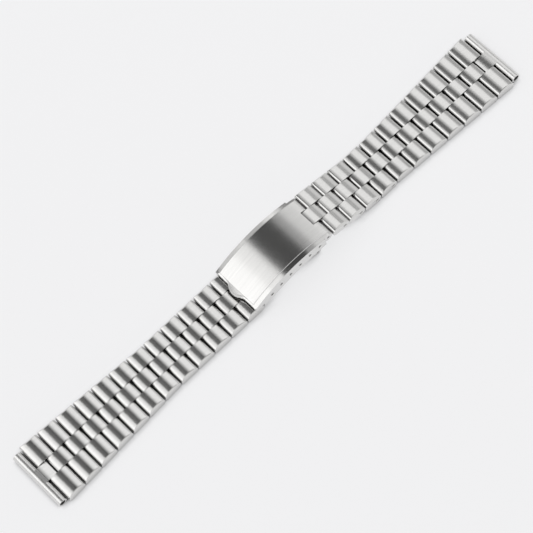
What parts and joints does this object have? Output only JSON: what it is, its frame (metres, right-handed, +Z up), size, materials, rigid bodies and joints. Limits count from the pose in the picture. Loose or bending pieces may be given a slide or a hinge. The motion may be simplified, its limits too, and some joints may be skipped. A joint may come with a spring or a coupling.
{
  "type": "watch bracelet",
  "caption": "Tapering steel watch bracelet of three-row links on pins, with straight end pieces for spring bars and an adjustable folding clasp, laid out closed.",
  "frame": {"origin": "on the table under the middle of the laid out length and width", "axes": "+X along the bracelet, from the strand under the clasp's lip to the strand on its spring bar; +Y across it, away from the side that the picture shows; +Z up"},
  "size_m": [0.169, 0.0198, 0.0095],
  "materials": {
    "outer_link_steel": "satin brushed along the strap",
    "centre_link_steel": "satin brushed along the strap",
    "end_piece_steel": "satin",
    "cover_steel": "brushed along its length, with polished bevels",
    "blade_steel": "pressed sheet, lightly polished",
    "pin_steel": "drawn wire"
  },
  "bodies": {
    "inner_blade": {"inner_blade": "blade_steel", "blade_hinge_pin": "pin_steel"},
    "middle_blade": {"middle_blade": "blade_steel"},
    "clasp_cover": {"clasp_cover": "cover_steel", "cover_hinge_pin": "pin_steel", "clasp_spring_bar": "pin_steel"},
    "outer_links_left_01": {"outer_links_left_01": "outer_link_steel"},
    "outer_links_left_02": {"outer_links_left_02": "outer_link_steel"},
    "outer_links_left_03": {"outer_links_left_03": "outer_link_steel"},
    "outer_links_left_04": {"outer_links_left_04": "outer_link_steel"},
    "outer_links_left_05": {"outer_links_left_05": "outer_link_steel"},
    "outer_links_left_06": {"outer_links_left_06": "outer_link_steel"},
    "outer_links_left_07": {"outer_links_left_07": "outer_link_steel"},
    "outer_links_left_08": {"outer_links_left_08": "outer_link_steel"},
    "outer_links_left_09": {"outer_links_left_09": "outer_link_steel"},
    "outer_links_left_10": {"outer_links_left_10": "outer_link_steel"},
    "outer_links_left_11": {"outer_links_left_11": "outer_link_steel"},
    "outer_links_left_12": {"outer_links_left_12": "outer_link_steel"},
    "centre_link_left_01": {"centre_link_left_01": "centre_link_steel"},
    "centre_link_left_02": {"centre_link_left_02": "centre_link_steel"},
    "centre_link_left_03": {"centre_link_left_03": "centre_link_steel"},
    "centre_link_left_04": {"centre_link_left_04": "centre_link_steel"},
    "centre_link_left_05": {"centre_link_left_05": "centre_link_steel"},
    "centre_link_left_06": {"centre_link_left_06": "centre_link_steel"},
    "centre_link_left_07": {"centre_link_left_07": "centre_link_steel"},
    "centre_link_left_08": {"centre_link_left_08": "centre_link_steel"},
    "centre_link_left_09": {"centre_link_left_09": "centre_link_steel"},
    "centre_link_left_10": {"centre_link_left_10": "centre_link_steel"},
    "centre_link_left_11": {"centre_link_left_11": "centre_link_steel"},
    "outer_links_right_01": {"outer_links_right_01": "outer_link_steel"},
    "outer_links_right_02": {"outer_links_right_02": "outer_link_steel"},
    "outer_links_right_03": {"outer_links_right_03": "outer_link_steel"},
    "outer_links_right_04": {"outer_links_right_04": "outer_link_steel"},
    "outer_links_right_05": {"outer_links_right_05": "outer_link_steel"},
    "outer_links_right_06": {"outer_links_right_06": "outer_link_steel"},
    "outer_links_right_07": {"outer_links_right_07": "outer_link_steel"},
    "outer_links_right_08": {"outer_links_right_08": "outer_link_steel"},
    "outer_links_right_09": {"outer_links_right_09": "outer_link_steel"},
    "outer_links_right_10": {"outer_links_right_10": "outer_link_steel"},
    "outer_links_right_11": {"outer_links_right_11": "outer_link_steel"},
    "centre_link_right_01": {"centre_link_right_01": "centre_link_steel"},
    "centre_link_right_02": {"centre_link_right_02": "centre_link_steel"},
    "centre_link_right_03": {"centre_link_right_03": "centre_link_steel"},
    "centre_link_right_04": {"centre_link_right_04": "centre_link_steel"},
    "centre_link_right_05": {"centre_link_right_05": "centre_link_steel"},
    "centre_link_right_06": {"centre_link_right_06": "centre_link_steel"},
    "centre_link_right_07": {"centre_link_right_07": "centre_link_steel"},
    "centre_link_right_08": {"centre_link_right_08": "centre_link_steel"},
    "centre_link_right_09": {"centre_link_right_09": "centre_link_steel"},
    "centre_link_right_10": {"centre_link_right_10": "centre_link_steel"},
    "centre_link_right_11": {"centre_link_right_11": "centre_link_steel"},
    "end_piece_left": {"end_piece_left": "end_piece_steel"},
    "end_piece_right": {"end_piece_right": "end_piece_steel"}
  },
  "joints": [
    {"name": "blade_hinge", "type": "hinge", "parent": "inner_blade", "child": "middle_blade", "pos_m": [0.01096, 0, 0.0012], "axis": [0, 1, 0], "range_deg": [0, 155]},
    {"name": "cover_hinge", "type": "hinge", "parent": "middle_blade", "child": "clasp_cover", "pos_m": [-0.00644, 0, 0.0046], "axis": [0, 1, 0], "range_deg": [-155, 0]},
    {"name": "left_hinge_23", "type": "hinge", "parent": "inner_blade", "child": "outer_links_left_12", "pos_m": [-0.01114, 0, 0.00133], "axis": [0, -1, 0], "range_deg": [-6, 12]},
    {"name": "left_hinge_22", "type": "hinge", "parent": "outer_links_left_12", "child": "centre_link_left_11", "pos_m": [-0.01414, 0, 0.00133], "axis": [0, -1, 0], "range_deg": [-6, 12]},
    {"name": "left_hinge_21", "type": "hinge", "parent": "centre_link_left_11", "child": "outer_links_left_11", "pos_m": [-0.01714, 0, 0.00133], "axis": [0, -1, 0], "range_deg": [-6, 12]},
    {"name": "left_hinge_20", "type": "hinge", "parent": "outer_links_left_11", "child": "centre_link_left_10", "pos_m": [-0.02014, 0, 0.00133], "axis": [0, -1, 0], "range_deg": [-6, 12]},
    {"name": "left_hinge_19", "type": "hinge", "parent": "centre_link_left_10", "child": "outer_links_left_10", "pos_m": [-0.02314, 0, 0.00133], "axis": [0, -1, 0], "range_deg": [-6, 12]},
    {"name": "left_hinge_18", "type": "hinge", "parent": "outer_links_left_10", "child": "centre_link_left_09", "pos_m": [-0.02614, 0, 0.00133], "axis": [0, -1, 0], "range_deg": [-6, 12]},
    {"name": "left_hinge_17", "type": "hinge", "parent": "centre_link_left_09", "child": "outer_links_left_09", "pos_m": [-0.02914, 0, 0.00133], "axis": [0, -1, 0], "range_deg": [-6, 12]},
    {"name": "left_hinge_16", "type": "hinge", "parent": "outer_links_left_09", "child": "centre_link_left_08", "pos_m": [-0.03214, 0, 0.00133], "axis": [0, -1, 0], "range_deg": [-6, 12]},
    {"name": "left_hinge_15", "type": "hinge", "parent": "centre_link_left_08", "child": "outer_links_left_08", "pos_m": [-0.03514, 0, 0.00133], "axis": [0, -1, 0], "range_deg": [-6, 12]},
    {"name": "left_hinge_14", "type": "hinge", "parent": "outer_links_left_08", "child": "centre_link_left_07", "pos_m": [-0.03814, 0, 0.00133], "axis": [0, -1, 0], "range_deg": [-6, 12]},
    {"name": "left_hinge_13", "type": "hinge", "parent": "centre_link_left_07", "child": "outer_links_left_07", "pos_m": [-0.04114, 0, 0.00133], "axis": [0, -1, 0], "range_deg": [-6, 12]},
    {"name": "left_hinge_12", "type": "hinge", "parent": "outer_links_left_07", "child": "centre_link_left_06", "pos_m": [-0.04414, 0, 0.00133], "axis": [0, -1, 0], "range_deg": [-6, 12]},
    {"name": "left_hinge_11", "type": "hinge", "parent": "centre_link_left_06", "child": "outer_links_left_06", "pos_m": [-0.04714, 0, 0.00133], "axis": [0, -1, 0], "range_deg": [-6, 12]},
    {"name": "left_hinge_10", "type": "hinge", "parent": "outer_links_left_06", "child": "centre_link_left_05", "pos_m": [-0.05014, 0, 0.00133], "axis": [0, -1, 0], "range_deg": [-6, 12]},
    {"name": "left_hinge_09", "type": "hinge", "parent": "centre_link_left_05", "child": "outer_links_left_05", "pos_m": [-0.05314, 0, 0.00133], "axis": [0, -1, 0], "range_deg": [-6, 12]},
    {"name": "left_hinge_08", "type": "hinge", "parent": "outer_links_left_05", "child": "centre_link_left_04", "pos_m": [-0.05614, 0, 0.00133], "axis": [0, -1, 0], "range_deg": [-6, 12]},
    {"name": "left_hinge_07", "type": "hinge", "parent": "centre_link_left_04", "child": "outer_links_left_04", "pos_m": [-0.05914, 0, 0.00133], "axis": [0, -1, 0], "range_deg": [-6, 12]},
    {"name": "left_hinge_06", "type": "hinge", "parent": "outer_links_left_04", "child": "centre_link_left_03", "pos_m": [-0.06214, 0, 0.00133], "axis": [0, -1, 0], "range_deg": [-6, 12]},
    {"name": "left_hinge_05", "type": "hinge", "parent": "centre_link_left_03", "child": "outer_links_left_03", "pos_m": [-0.06514, 0, 0.00133], "axis": [0, -1, 0], "range_deg": [-6, 12]},
    {"name": "left_hinge_04", "type": "hinge", "parent": "outer_links_left_03", "child": "centre_link_left_02", "pos_m": [-0.06814, 0, 0.00133], "axis": [0, -1, 0], "range_deg": [-6, 12]},
    {"name": "left_hinge_03", "type": "hinge", "parent": "centre_link_left_02", "child": "outer_links_left_02", "pos_m": [-0.07114, 0, 0.00133], "axis": [0, -1, 0], "range_deg": [-6, 12]},
    {"name": "left_hinge_02", "type": "hinge", "parent": "outer_links_left_02", "child": "centre_link_left_01", "pos_m": [-0.07414, 0, 0.00133], "axis": [0, -1, 0], "range_deg": [-6, 12]},
    {"name": "left_hinge_01", "type": "hinge", "parent": "centre_link_left_01", "child": "outer_links_left_01", "pos_m": [-0.07714, 0, 0.00133], "axis": [0, -1, 0], "range_deg": [-6, 12]},
    {"name": "left_hinge_00", "type": "hinge", "parent": "outer_links_left_01", "child": "end_piece_left", "pos_m": [-0.08014, 0, 0.00133], "axis": [0, -1, 0], "range_deg": [-6, 12]},
    {"name": "right_hinge_22", "type": "hinge", "parent": "clasp_cover", "child": "centre_link_right_11", "pos_m": [0.01466, 0, 0.00588], "axis": [0, 1, 0], "range_deg": [-6, 12]},
    {"name": "right_hinge_21", "type": "hinge", "parent": "centre_link_right_11", "child": "outer_links_right_11", "pos_m": [0.01758, 0, 0.00518], "axis": [0, 1, 0], "range_deg": [-6, 12]},
    {"name": "right_hinge_20", "type": "hinge", "parent": "outer_links_right_11", "child": "centre_link_right_10", "pos_m": [0.02049, 0, 0.00448], "axis": [0, 1, 0], "range_deg": [-6, 12]},
    {"name": "right_hinge_19", "type": "hinge", "parent": "centre_link_right_10", "child": "outer_links_right_10", "pos_m": [0.02341, 0, 0.00378], "axis": [0, 1, 0], "range_deg": [-6, 12]},
    {"name": "right_hinge_18", "type": "hinge", "parent": "outer_links_right_10", "child": "centre_link_right_09", "pos_m": [0.02633, 0, 0.00308], "axis": [0, 1, 0], "range_deg": [-6, 12]},
    {"name": "right_hinge_17", "type": "hinge", "parent": "centre_link_right_09", "child": "outer_links_right_09", "pos_m": [0.02924, 0, 0.00238], "axis": [0, 1, 0], "range_deg": [-6, 12]},
    {"name": "right_hinge_16", "type": "hinge", "parent": "outer_links_right_09", "child": "centre_link_right_08", "pos_m": [0.03216, 0, 0.00168], "axis": [0, 1, 0], "range_deg": [-6, 12]},
    {"name": "right_hinge_15", "type": "hinge", "parent": "centre_link_right_08", "child": "outer_links_right_08", "pos_m": [0.03514, 0, 0.00133], "axis": [0, 1, 0], "range_deg": [-6, 12]},
    {"name": "right_hinge_14", "type": "hinge", "parent": "outer_links_right_08", "child": "centre_link_right_07", "pos_m": [0.03814, 0, 0.00133], "axis": [0, 1, 0], "range_deg": [-6, 12]},
    {"name": "right_hinge_13", "type": "hinge", "parent": "centre_link_right_07", "child": "outer_links_right_07", "pos_m": [0.04114, 0, 0.00133], "axis": [0, 1, 0], "range_deg": [-6, 12]},
    {"name": "right_hinge_12", "type": "hinge", "parent": "outer_links_right_07", "child": "centre_link_right_06", "pos_m": [0.04414, 0, 0.00133], "axis": [0, 1, 0], "range_deg": [-6, 12]},
    {"name": "right_hinge_11", "type": "hinge", "parent": "centre_link_right_06", "child": "outer_links_right_06", "pos_m": [0.04714, 0, 0.00133], "axis": [0, 1, 0], "range_deg": [-6, 12]},
    {"name": "right_hinge_10", "type": "hinge", "parent": "outer_links_right_06", "child": "centre_link_right_05", "pos_m": [0.05014, 0, 0.00133], "axis": [0, 1, 0], "range_deg": [-6, 12]},
    {"name": "right_hinge_09", "type": "hinge", "parent": "centre_link_right_05", "child": "outer_links_right_05", "pos_m": [0.05314, 0, 0.00133], "axis": [0, 1, 0], "range_deg": [-6, 12]},
    {"name": "right_hinge_08", "type": "hinge", "parent": "outer_links_right_05", "child": "centre_link_right_04", "pos_m": [0.05614, 0, 0.00133], "axis": [0, 1, 0], "range_deg": [-6, 12]},
    {"name": "right_hinge_07", "type": "hinge", "parent": "centre_link_right_04", "child": "outer_links_right_04", "pos_m": [0.05914, 0, 0.00133], "axis": [0, 1, 0], "range_deg": [-6, 12]},
    {"name": "right_hinge_06", "type": "hinge", "parent": "outer_links_right_04", "child": "centre_link_right_03", "pos_m": [0.06214, 0, 0.00133], "axis": [0, 1, 0], "range_deg": [-6, 12]},
    {"name": "right_hinge_05", "type": "hinge", "parent": "centre_link_right_03", "child": "outer_links_right_03", "pos_m": [0.06514, 0, 0.00133], "axis": [0, 1, 0], "range_deg": [-6, 12]},
    {"name": "right_hinge_04", "type": "hinge", "parent": "outer_links_right_03", "child": "centre_link_right_02", "pos_m": [0.06814, 0, 0.00133], "axis": [0, 1, 0], "range_deg": [-6, 12]},
    {"name": "right_hinge_03", "type": "hinge", "parent": "centre_link_right_02", "child": "outer_links_right_02", "pos_m": [0.07114, 0, 0.00133], "axis": [0, 1, 0], "range_deg": [-6, 12]},
    {"name": "right_hinge_02", "type": "hinge", "parent": "outer_links_right_02", "child": "centre_link_right_01", "pos_m": [0.07414, 0, 0.00133], "axis": [0, 1, 0], "range_deg": [-6, 12]},
    {"name": "right_hinge_01", "type": "hinge", "parent": "centre_link_right_01", "child": "outer_links_right_01", "pos_m": [0.07714, 0, 0.00133], "axis": [0, 1, 0], "range_deg": [-6, 12]},
    {"name": "right_hinge_00", "type": "hinge", "parent": "outer_links_right_01", "child": "end_piece_right", "pos_m": [0.08014, 0, 0.00133], "axis": [0, 1, 0], "range_deg": [-6, 12]}
  ],
  "couplings": [
    {"joint": "cover_hinge", "follows": "blade_hinge", "ratio": -1}
  ]
}
